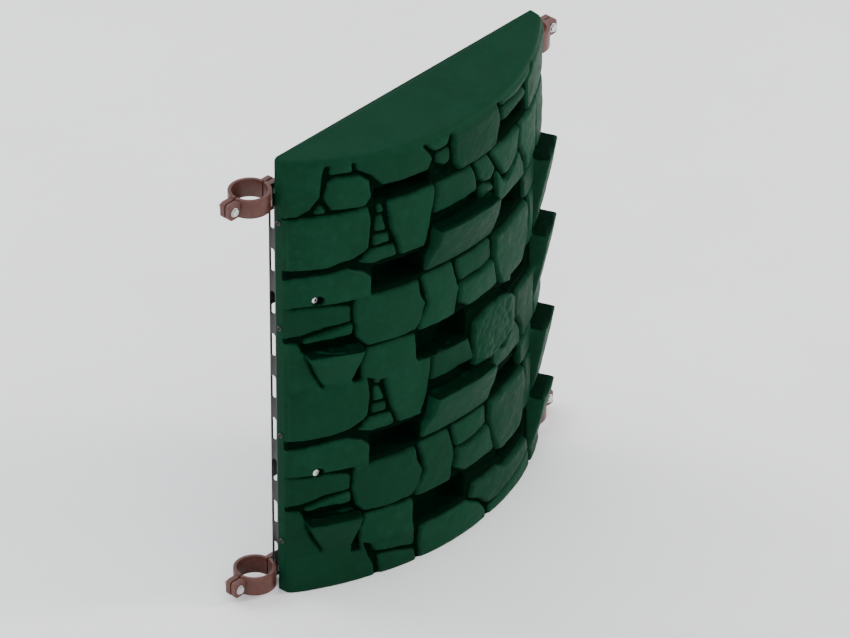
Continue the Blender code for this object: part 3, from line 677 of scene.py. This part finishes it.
def shape_up(name, base, joins, cuts, width, segments=3, angle=35):
    """A mesh with others joined on and cut out, and its edges rounded."""
    body = bpy.data.objects.new(name, base)
    helpers = [body]
    show(body)
    for operation, meshes in (("UNION", joins), ("DIFFERENCE", cuts)):
        for mesh in meshes:
            helper = bpy.data.objects.new(mesh.name, mesh)
            show(helper)
            helpers.append(helper)
            step = body.modifiers.new(mesh.name, "BOOLEAN")
            step.operation = operation
            step.solver = "EXACT"
            step.object = helper
    if width:
        step = body.modifiers.new("edges", "BEVEL")
        step.width = width
        step.segments = segments
        step.limit_method = "ANGLE"
        step.angle_limit = math.radians(angle)
    bpy.context.view_layer.update()
    result = bpy.data.meshes.new_from_object(body.evaluated_get(bpy.context.evaluated_depsgraph_get()))
    for helper in helpers:
        bpy.data.objects.remove(helper, do_unlink=True)
    result.name = name
    return result


ALONG_Y = Matrix.Rotation(math.radians(-90), 4, "X")
ALONG_X = Matrix(((0, 0, 1, 0), (1, 0, 0, 0), (0, 1, 0, 0), (0, 0, 0, 1)))
PAST = 0.12                  # further than any edge of what it cuts

CLAMP_LEVELS = (0.038, 1.148)
CLAMP_OUTER = 0.0535
CLAMP_BORE = 0.04445
CLAMP_HALF_TALL = 0.025
CLAMP_HALF_SPLIT = 0.002
CLAMP_STEPS = 96
CLAMP_EDGE = 0.0016
CLAMP_BOLT_U = 0.070
CLAMP_HOLE = 0.0056
EAR_REACH = 0.086
EAR_HALF_THICK = 0.0167
EAR_HALF_TALL = 0.021
EAR_ROUND = 0.009

STEEL = 0.003
BEND = 0.003
ANGLE_EDGE = 0.0005
ANGLE_LOW = 0.016
ANGLE_HIGH = 1.170
LEG_U = 0.0441
LEG_REACH = 0.118
LEG_NEAR = 0.017
LEG_FAR = 0.072
SLOT_COUNT = 9
SLOT_PITCH = 0.1235
SLOT_MIDDLE = 0.592
SLOT_HALF = 0.025
SLOT_ROUND = 0.008
SLOT_V = 0.029
SIDE_BOLT_V = 0.059
SIDE_BOLTS = (0.150, 0.465, 0.780, 1.085)
SMALL_HOLE = 0.0046
TAB_END = 0.052
TAB_HALF = 0.030
TAB_ROOT = 0.004
COPE = (0.030, 0.056)
COPE_END = 0.029

LIP_HALF = 0.425
LIP_TALL = 0.0415
LIP_HOLES = (-0.36, -0.13, 0.13, 0.36)
LIP_HOLE = 0.0055
LIP_HOLE_Z = 1.237
LIP_EDGE = 0.0012


def drill(radius, steps, reach, turn, place):
    """A cutter for a round hole, its middle at a place."""
    hole = turned(prism("hole", circle(radius, steps), -reach, reach), turn)
    return turned(hole, Matrix.Translation(place))


def clamp_casting(direction):
    """Half a clamp about its own centre: a half ring with rounded ears, on the -Y side for direction -1."""
    ring = prism("casting", circle(CLAMP_OUTER, CLAMP_STEPS), -CLAMP_HALF_TALL, CLAMP_HALF_TALL)
    ear_x, ear_z = EAR_REACH - EAR_ROUND, EAR_HALF_TALL - EAR_ROUND
    outline = []
    for x, z, start in ((ear_x, -ear_z, -90), (ear_x, ear_z, 0), (-ear_x, ear_z, 90), (-ear_x, -ear_z, 180)):
        outline += [(x + dx, z + dz) for dx, dz in circle(EAR_ROUND, 7, start, 90)]
    ears = prism("ears", outline, -EAR_HALF_THICK, EAR_HALF_THICK)
    ears = turned(ears, Matrix.Rotation(math.radians(90), 4, "X"))
    cuts = [prism("bore", circle(CLAMP_BORE, CLAMP_STEPS), -PAST, PAST)]
    low, high = (-CLAMP_HALF_SPLIT, PAST) if direction < 0 else (-PAST, CLAMP_HALF_SPLIT)
    cuts.append(prism("split", [(-PAST, low), (PAST, low), (PAST, high), (-PAST, high)], -PAST, PAST))
    for x in (-CLAMP_BOLT_U, CLAMP_BOLT_U):
        cuts.append(drill(CLAMP_HOLE, 24, PAST, ALONG_Y, (x, 0, 0)))
    return shape_up("casting", ring, [ears], cuts, CLAMP_EDGE)


def side_angle(sign):
    """A slotted steel angle with its bends and edges eased, in its place on one side."""
    inside = LEG_U + STEEL
    mid_x = sign * (POST_X - LEG_U - STEEL / 2)

    def at(u, v):
        return (sign * (POST_X - u), POST_Y - v)

    def block(name, u_span, v_far, z_span):
        near, far = u_span
        return prism(name, [at(near, 0.0), at(far, 0.0), at(far, v_far), at(near, v_far)], *z_span)

    outline = [(LEG_U, LEG_FAR), (LEG_U, LEG_NEAR + BEND), (LEG_U + 0.3 * BEND, LEG_NEAR + 0.3 * BEND),
               (LEG_U + BEND, LEG_NEAR), (LEG_REACH, LEG_NEAR), (LEG_REACH, LEG_NEAR + STEEL),
               (inside + BEND / 2, LEG_NEAR + STEEL), (inside, LEG_NEAR + STEEL + BEND / 2),
               (inside, LEG_FAR)]
    base = prism("angle", [at(u, v) for u, v in outline], ANGLE_LOW, ANGLE_HIGH)
    slot = [(px, pz + SLOT_HALF) for px, pz in circle(SLOT_ROUND, 13, 0, 180)]
    slot += [(px, pz - SLOT_HALF) for px, pz in circle(SLOT_ROUND, 13, 180, 180)]
    cuts = []
    for i in range(SLOT_COUNT):
        z = SLOT_MIDDLE + (i - (SLOT_COUNT - 1) / 2) * SLOT_PITCH
        cutter = turned(prism("slot", slot, -0.01, 0.01), ALONG_X)
        cuts.append(turned(cutter, Matrix.Translation((mid_x, POST_Y - SLOT_V, z))))
    for z in SIDE_BOLTS:
        cuts.append(drill(SMALL_HOLE, 20, 0.01, ALONG_X, (mid_x, POST_Y - SIDE_BOLT_V, z)))
    for u, radius, levels in ((CLAMP_BOLT_U, CLAMP_HOLE, CLAMP_LEVELS),
                              (FACE_BOLT_U, SMALL_HOLE, FACE_BOLTS[sign])):
        for z in levels:
            place = (sign * (POST_X - u), POST_Y - LEG_NEAR - STEEL / 2, z)
            cuts.append(drill(radius, 20, 0.02, ALONG_Y, place))
    low_clamp, high_clamp = CLAMP_LEVELS
    tabs = [(ANGLE_LOW, low_clamp + TAB_END)]
    tabs += [(z - TAB_HALF, z + TAB_HALF) for z in FACE_BOLTS[sign]]
    tabs += [(high_clamp - TAB_END, ANGLE_HIGH)]
    for below, above in zip(tabs, tabs[1:]):
        cuts.append(block("window", (inside + TAB_ROOT, PAST), 0.030, (below[1], above[0])))
    for z_span in ((ANGLE_LOW - PAST, low_clamp + COPE_END), (high_clamp - COPE_END, ANGLE_HIGH + PAST)):
        cuts.append(block("cope", COPE, PAST, z_span))
    return shape_up("angle", base, [], cuts, ANGLE_EDGE, 2)


def rear_lip():
    """The rim that turns down behind the top, with its holes for the deck's bolts."""
    outside = POST_Y - BACK_V
    skin = outside - 0.0002
    inside = outside - WALL
    top = TOP_BACK - WALL / 2 - 0.0005
    block = prism("lip", [(-LIP_HALF, skin), (LIP_HALF, skin), (LIP_HALF, inside), (-LIP_HALF, inside)],
                  top - LIP_TALL, top)
    holes = [drill(LIP_HOLE, 24, 0.03, ALONG_Y, (x, outside, LIP_HOLE_Z)) for x in LIP_HOLES]
    return shape_up("lip", block, [], holes, LIP_EDGE)


def stack(name, rings, sides, closed=False):
    """A solid through rings of (radius, height), each a number or one value for each side."""
    work = bmesh.new()
    turns = np.linspace(0, 2 * math.pi, sides, endpoint=False)
    levels = []
    for radius, z in rings:
        radius, z = np.broadcast_to(radius, sides), np.broadcast_to(z, sides)
        levels.append([work.verts.new((r * math.cos(t), r * math.sin(t), h))
                       for r, t, h in zip(radius, turns, z)])
    pairs = list(zip(levels, levels[1:]))
    if closed:
        pairs.append((levels[-1], levels[0]))
    else:
        work.faces.new(levels[0])
        work.faces.new(levels[-1])
    for one, two in pairs:
        for k in range(sides):
            work.faces.new((one[k], one[(k + 1) % sides], two[(k + 1) % sides], two[k]))
    return mesh_of(name, work)


SIDES = 48
TURNS = np.linspace(0, 2 * math.pi, SIDES, endpoint=False)
WASHER = 0.0016
WASHER_REACH = 1.22          # a washer's radius, for a hexagon of radius 1
CHAMFER = 0.90


def hexagon(radius):
    """The radius of a hexagon with its corners at this radius, all the way round."""
    flat = radius * math.cos(math.pi / 6)
    return flat / np.cos((TURNS + math.pi / 6) % (math.pi / 3) - math.pi / 6)


def hex_sizes(radius):
    """A hexagon's radii, where its chamfer starts, how far the chamfer falls, and its washer's radius."""
    top = hexagon(radius)
    round_to = radius * CHAMFER
    return top, round_to, np.maximum(top - round_to, 0) * math.tan(math.radians(30)), radius * WASHER_REACH


def thread(radius, pitch, low, high):
    """Rings of a screw thread, cut 0.6 of a pitch deep."""
    rings = []
    for z in np.linspace(low, high, max(2, round((high - low) / pitch * 6))):
        phase = (z / pitch - TURNS / (2 * math.pi)) % 1.0
        crest = 1 - np.abs(2 * phase - 1)
        fade = min(1.0, (high - z) / pitch, (z - low) / pitch)
        rings.append((radius - 0.55 * pitch * fade * limited(1.25 * crest) - 0.0002, z))
    return rings


def hex_bolt(radius, head, shank, length, pitch, grip):
    """Along +Z from under its head, with a washer in the head's height."""
    top, round_to, fall, disc = hex_sizes(radius)
    rings = [(radius * 0.15, -head + 0.0003), (round_to * 0.94, -head), (round_to, -head + 0.0002),
             (top, -head + 0.0002 + fall), (top, -WASHER),
             (disc - 0.0004, -WASHER), (disc, -WASHER + 0.0003), (disc, -0.0003),
             (disc - 0.0004, 0.0), (shank, 0.0), (shank, grip)]
    rings += thread(shank, pitch, grip + 0.0002, length - 0.0012)
    rings += [(shank * 0.8, length), (shank * 0.1, length)]
    return stack("hex_bolt", rings, SIDES)


def hex_nut(radius, bore, tall):
    """Along +Z from its seat, with a washer in its height."""
    top, round_to, fall, disc = hex_sizes(radius)
    rings = [(bore * 1.02, 0.0), (disc - 0.0004, 0.0), (disc, 0.0003), (disc, WASHER - 0.0003),
             (disc - 0.0004, WASHER), (top, WASHER), (top, tall - 0.0002 - fall), (round_to, tall - 0.0002),
             (round_to * 0.94, tall), (bore * 1.25, tall), (bore * 1.02, tall - 0.0008)]
    return stack("hex_nut", rings, SIDES, closed=True)


def button_bolt(radius, head, shank, length, pitch, grip):
    """Along +Z from under a domed head with a six-sided socket."""
    socket = hexagon(radius * 0.42)
    rings = [(socket * 0.1, -head * 0.35), (socket * 0.96, -head * 0.35), (socket, -head * 0.40),
             (socket, -head + 0.0003), (socket * 1.06, -head)]
    for k in range(7):
        turn = math.radians(12 + 78 * k / 6)
        rings.append((radius * (0.52 + 0.48 * math.sin(turn)), -0.0006 - (head - 0.0006) * math.cos(turn)))
    rings += [(radius, -0.0002), (radius * 0.97, 0.0), (shank, 0.0), (shank, grip)]
    rings += thread(shank, pitch, grip + 0.0002, length - 0.001)
    rings += [(shank * 0.8, length), (shank * 0.1, length)]
    return stack("button_bolt", rings, SIDES)


def sleeve(radius, bore, tall):
    edge = 0.0007
    return stack("sleeve", [(bore + edge, 0), (radius - edge, 0), (radius, edge), (radius, tall - edge),
                            (radius - edge, tall), (bore + edge, tall), (bore, tall - edge), (bore, edge)],
                 SIDES, closed=True)


# Finishes

GREEN = (0.0016, 0.0265, 0.0112)
GREEN_ALSO = (0.0023, 0.0320, 0.0142)
GREEN_PALE = (0.0050, 0.0450, 0.0230)
GREEN_DEEP = (0.0010, 0.0185, 0.0076)
# Paler green for rubbed stone edges and scratches, which on the edges is also a painted highlight
GREEN_RUBBED_AND_HIGHLIGHT = (0.0100, 0.0560, 0.0310)
# Near-black green: painted shade in the grooves, hollows, pockets and on the ledges' tops
GREEN_PAINTED_SHADE = (0.0003, 0.0040, 0.0018)
BROWN = (0.068, 0.0190, 0.0130)
BROWN_DUSTY = (0.090, 0.032, 0.024)
PRIMER = (0.09, 0.07, 0.06)
BLACK = (0.010, 0.010, 0.010)
BLACK_RUBBED = (0.030, 0.028, 0.026)
ZINC = (0.60, 0.61, 0.60)
ZINC_DULL = (0.42, 0.43, 0.42)
ZINC_BRIGHT = (0.70, 0.70, 0.68)
FLOOR = (0.87, 0.865, 0.855)
FLOOR_PALE = (0.90, 0.895, 0.885)


class Finish:
    """A material made of nodes, with helpers that keep the wiring short."""

    def __init__(self, name):
        self.material = bpy.data.materials.new(name)
        self.material.use_nodes = True
        self.tree = self.material.node_tree
        self.shader = self.tree.nodes["Principled BSDF"]
        self.place = self.node("ShaderNodeTexCoord").outputs["Object"]

    def node(self, kind, **settings):
        made = self.tree.nodes.new(kind)
        for key, value in settings.items():
            setattr(made, key, value)
        return made

    def link(self, source, socket):
        if isinstance(source, (int, float)):
            socket.default_value = source
        elif isinstance(source, tuple):
            socket.default_value = (*source, 1.0)
        else:
            self.tree.links.new(source, socket)

    def noise(self, scale, detail=3.0, roughness=0.55, stretch=None):
        made = self.node("ShaderNodeTexNoise")
        for key, number in (("Scale", scale), ("Detail", detail), ("Roughness", roughness)):
            made.inputs[key].default_value = number
        source = self.place
        if stretch:
            mapping = self.node("ShaderNodeMapping")
            mapping.inputs["Scale"].default_value = stretch
            self.link(self.place, mapping.inputs["Vector"])
            source = mapping.outputs["Vector"]
        self.link(source, made.inputs["Vector"])
        return made.outputs["Fac"]

    def attribute(self, name):
        return self.node("ShaderNodeAttribute", attribute_name=name).outputs["Fac"]

    def ramp(self, value, low, high, start=0.0, end=1.0):
        made = self.node("ShaderNodeMapRange", interpolation_type="SMOOTHSTEP")
        self.link(value, made.inputs["Value"])
        for key, number in (("From Min", low), ("From Max", high), ("To Min", start), ("To Max", end)):
            made.inputs[key].default_value = number
        return made.outputs["Result"]

    def math(self, operation, one, two):
        made = self.node("ShaderNodeMath", operation=operation)
        self.link(one, made.inputs[0])
        self.link(two, made.inputs[1])
        return made.outputs[0]

    def mix(self, share, one, two, blend="MIX"):
        made = self.node("ShaderNodeMix", data_type="RGBA", blend_type=blend)
        self.link(share, made.inputs[0])
        self.link(one, made.inputs[6])
        self.link(two, made.inputs[7])
        return made.outputs[2]

    def bump(self, layers):
        """Bumps one over another, each (height, depth in metres)."""
        normal = None
        for height, depth in layers:
            made = self.node("ShaderNodeBump")
            made.inputs["Strength"].default_value = 1.0
            made.inputs["Distance"].default_value = depth
            self.link(height, made.inputs["Height"])
            if normal:
                self.link(normal, made.inputs["Normal"])
            normal = made.outputs["Normal"]
        self.link(normal, self.shader.inputs["Normal"])

    def finish(self, colour, roughness, metallic=0.0, coat=0.0, specular=0.5):
        self.link(colour, self.shader.inputs["Base Color"])
        self.link(roughness, self.shader.inputs["Roughness"])
        self.shader.inputs["Metallic"].default_value = metallic
        self.shader.inputs["Coat Weight"].default_value = coat
        self.shader.inputs["Coat Roughness"].default_value = 0.25
        self.shader.inputs["Specular IOR Level"].default_value = specular
        return self.material


def green_plastic():
    """Rotomoulded polyethylene: a fine pebbled grain, paler where hands and shoes rub the stones' edges,
    which is also a painted highlight there, and painted shade in the grooves, pockets and on the ledges'
    tops.
    """
    make = Finish("moulded_green")
    broad = make.noise(5.0, 3.0)
    mottle = make.noise(38.0, 4.0, 0.6)
    grain = make.noise(900.0, 2.0, 0.5)
    pebble = make.noise(320.0, 3.0, 0.6)
    painted_shade = make.attribute("painted_shade")
    wear_and_highlight = make.attribute("wear_and_highlight")
    tone = make.attribute("tone")
    colour = make.mix(make.ramp(broad, 0.35, 0.65), GREEN, GREEN_ALSO)
    colour = make.mix(make.ramp(mottle, 0.42, 0.72, 0.0, 0.45), colour, GREEN_PALE)
    colour = make.mix(make.ramp(tone, -1.0, 1.0, 0.0, 0.55), colour, GREEN_DEEP)
    # Paler at the stones' edges: rubbed wear, and a painted highlight
    rubbed_and_highlight = make.math("MULTIPLY", make.ramp(wear_and_highlight, 0.35, 1.0, 0.0, 0.40), make.ramp(mottle, 0.40, 0.66))
    colour = make.mix(rubbed_and_highlight, colour, GREEN_RUBBED_AND_HIGHLIGHT)
    # Painted shade, near black, in the grooves, hollows, pockets and on the ledges' tops
    painted_shade_share = make.math("MULTIPLY", make.ramp(painted_shade, 0.05, 0.65), 0.94)
    colour = make.mix(painted_shade_share, colour, GREEN_PAINTED_SHADE)
    scratch = make.noise(60.0, 2.0, 0.5, (1.0, 1.0, 9.0))
    marks = make.math("MULTIPLY", make.ramp(scratch, 0.66, 0.72, 0.0, 0.22), make.ramp(mottle, 0.4, 0.6))
    colour = make.mix(marks, colour, GREEN_RUBBED_AND_HIGHLIGHT)
    rough = make.math("ADD", make.ramp(mottle, 0.3, 0.7, 0.46, 0.60), make.math("MULTIPLY", painted_shade, 0.16))
    make.bump([(make.noise(70.0, 3.0), 0.0005), (pebble, 0.00042), (grain, 0.00012)])
    made = make.finish(colour, rough)
    # The painted shade also dims the sheen there
    make.link(make.ramp(painted_shade, 0.05, 0.6, 0.04, 0.005), make.shader.inputs["Specular IOR Level"])
    return made


def brown_coat():
    """Powder coat: orange peel, a little dust on the flats, and bare grey primer showing in a few chips."""
    make = Finish("brown_powder_coat")
    peel = make.noise(420.0, 2.0, 0.5)
    cloud = make.noise(30.0, 4.0, 0.6)
    chips = make.noise(160.0, 2.0, 0.45)
    colour = make.mix(make.ramp(cloud, 0.35, 0.7), BROWN, BROWN_DUSTY)
    colour = make.mix(make.ramp(chips, 0.74, 0.77, 0.0, 0.7), colour, PRIMER)
    rough = make.ramp(cloud, 0.3, 0.7, 0.34, 0.5)
    make.bump([(make.noise(60.0, 2.0), 0.0006), (peel, 0.00016)])
    return make.finish(colour, rough, coat=0.04, specular=0.3)


def black_steel():
    """Black coated steel, with a satin grain along it and rubbed grey spots."""
    make = Finish("black_steel_coat")
    cloud = make.noise(24.0, 4.0, 0.6)
    speck = make.noise(700.0, 2.0, 0.5)
    colour = make.mix(make.ramp(cloud, 0.4, 0.75), BLACK, BLACK_RUBBED)
    rough = make.ramp(cloud, 0.3, 0.7, 0.36, 0.56)
    make.bump([(make.noise(90.0, 3.0), 0.0003), (speck, 0.00008)])
    return make.finish(colour, rough, metallic=0.35)


def zinc_steel():
    """Bright zinc plate, with faint spangle."""
    make = Finish("zinc_plate")
    cloud = make.noise(180.0, 3.0, 0.6)
    cell = make.node("ShaderNodeTexVoronoi")
    cell.inputs["Scale"].default_value = 420.0
    make.link(make.place, cell.inputs["Vector"])
    colour = make.mix(make.ramp(cloud, 0.35, 0.7), ZINC, ZINC_DULL)
    colour = make.mix(make.ramp(cell.outputs["Distance"], 0.2, 0.6, 0.0, 0.25), colour, ZINC_BRIGHT)
    make.bump([(make.noise(260.0, 3.0), 0.0001)])
    return make.finish(colour, make.ramp(cloud, 0.3, 0.7, 0.26, 0.42), metallic=0.92)


def pale_floor():
    make = Finish("pale_floor")
    cloud = make.noise(1.5, 4.0, 0.6)
    colour = make.mix(make.ramp(cloud, 0.3, 0.7), FLOOR, FLOOR_PALE)
    make.bump([(make.noise(500.0, 2.0), 0.00008)])
    return make.finish(colour, 0.85, specular=0.2)


# Pieces over the CAD solids

finishes = {"green_plastic": green_plastic(), "brown_coat": brown_coat(),
            "black_steel": black_steel(), "zinc_steel": zinc_steel()}
add_piece("moulded_wall_skin", make_shell(), "green_plastic", "wall_shell", 0)
add_piece("moulded_rear_lip", rear_lip(), "green_plastic", None)

HEX_HEAD = 0.0064
BUTTON_HEAD = 0.0045
castings = {"front": clamp_casting(-1), "back": clamp_casting(1)}
clamp_bolt = hex_bolt(radius=0.0098, head=HEX_HEAD, shank=0.005, length=0.050, pitch=0.0015, grip=0.034)
clamp_nut = hex_nut(radius=0.0098, bore=0.005, tall=0.0084)
side_bolt = button_bolt(0.0075, BUTTON_HEAD, shank=0.004, length=0.022, pitch=0.00125, grip=0.010)
face_bolt = button_bolt(0.0105, BUTTON_HEAD, shank=0.004, length=0.106, pitch=0.00125, grip=0.080)
small_nut = hex_nut(radius=0.0072, bore=0.004, tall=0.0068)


def set_by(name, mesh, slot, node, along, inset=0.0):
    """Puts a piece where its CAD solid is, its seat so far in from the end that along points away from."""
    low, high = (np.array(corner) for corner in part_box(node))
    place = (low + high) / 2
    axis = int(np.argmax(np.abs(along)))
    place[axis] = low[axis] + inset if along[axis] > 0 else high[axis] - inset
    turn = Vector(along).to_track_quat("Z", "Y").to_matrix().to_4x4()
    piece = add_piece(name, mesh.copy(), slot, node)
    piece.matrix_world = Matrix.Translation(place) @ turn


BACKWARDS = (0, 1, 0)
for side, sign in (("left", -1), ("right", 1)):
    inward = (-sign, 0, 0)
    add_piece(f"{side}_slotted_angle", side_angle(sign), "black_steel", f"{side}_side_angle")
    for level in ("lower", "upper"):
        clamp = f"{side}_{level}_clamp"
        for half, mesh in castings.items():
            low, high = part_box(f"{clamp}_{half}")
            piece = add_piece(f"{side}_{level}_{half}_casting", mesh.copy(), "brown_coat", f"{clamp}_{half}")
            piece.location = ((low.x + high.x) / 2, POST_Y, (low.z + high.z) / 2)
        for end in ("inner", "outer"):
            name = f"{side}_{level}_{end}"
            set_by(f"{name}_hex_bolt", clamp_bolt, "zinc_steel", f"{clamp}_{end}_bolt", BACKWARDS, HEX_HEAD)
            set_by(f"{name}_hex_nut", clamp_nut, "zinc_steel", f"{clamp}_{end}_nut", BACKWARDS)
    for i in (1, 2, 3, 4):
        set_by(f"{side}_button_bolt_{i}", side_bolt, "black_steel", f"{side}_side_bolt_{i}", inward,
               BUTTON_HEAD)
        set_by(f"{side}_small_nut_{i}", small_nut, "black_steel", f"{side}_side_nut_{i}", inward)
    for level in ("low", "high"):
        name = f"{side}_{level}"
        set_by(f"{name}_button_bolt", face_bolt, "zinc_steel", f"{name}_face_bolt", BACKWARDS, BUTTON_HEAD)
        set_by(f"{name}_small_nut", small_nut, "black_steel", f"{name}_face_nut", BACKWARDS)
        low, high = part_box(f"{name}_spacer_sleeve")
        tube = sleeve(radius=0.0085, bore=SMALL_HOLE, tall=high.y - low.y)
        set_by(f"{name}_tube_spacer", tube, "black_steel", f"{name}_spacer_sleeve", BACKWARDS)

# Floor, light and camera

FLOOR_HALF = 40.0
floor_mesh = bpy.data.meshes.new("studio_floor")
floor_corners = [(x * FLOOR_HALF, y * FLOOR_HALF, 0) for x, y in ((-1, -1), (1, -1), (1, 1), (-1, 1))]
floor_mesh.from_pydata(floor_corners, [], [(0, 1, 2, 3)])
floor_mesh.materials.append(pale_floor())
floor = bpy.data.objects.new("studio_floor", floor_mesh)
floor.location.z = -0.0004
show(floor)

world = bpy.data.worlds.new("studio")
bpy.context.scene.world = world
world.use_nodes = True
backdrop = world.node_tree.nodes["Background"]
backdrop.inputs["Color"].default_value = (0.93, 0.96, 1.0, 1.0)
backdrop.inputs["Strength"].default_value = 1.58

MIDDLE = Vector((0.0, 0.0, 0.62))
for name, place, size, power, tint in (
        ("key_light", (4.6, -4.3, 4.0), 1.6, 270.0, (1.0, 0.97, 0.93)),
        ("fill_light", (-4.2, -3.4, 2.6), 3.0, 22.0, (0.93, 0.96, 1.0)),
        ("back_light", (-1.6, 4.4, 3.6), 3.0, 120.0, (1.0, 1.0, 1.0))):
    lamp = bpy.data.lights.new(name, "AREA")
    lamp.shape = "DISK"
    lamp.size = size
    lamp.energy = power
    lamp.color = tint
    light = bpy.data.objects.new(name, lamp)
    light.location = place
    light.rotation_euler = (MIDDLE - Vector(place)).to_track_quat("-Z", "Y").to_euler()
    show(light)

camera_data = bpy.data.cameras.new("main_camera")
camera = bpy.data.objects.new("main_camera", camera_data)
show(camera)
camera.location = (-13.078, -12.144, 12.682)
FRAME_MIDDLE = Vector((0.0, 0.0, 0.605))
camera.rotation_euler = (FRAME_MIDDLE - camera.location).to_track_quat("-Z", "Y").to_euler()
camera_data.sensor_width = 36.0
camera_data.lens = 372.0
camera_data.clip_end = 200.0
bpy.context.scene.camera = camera

bpy.context.view_layer.update()
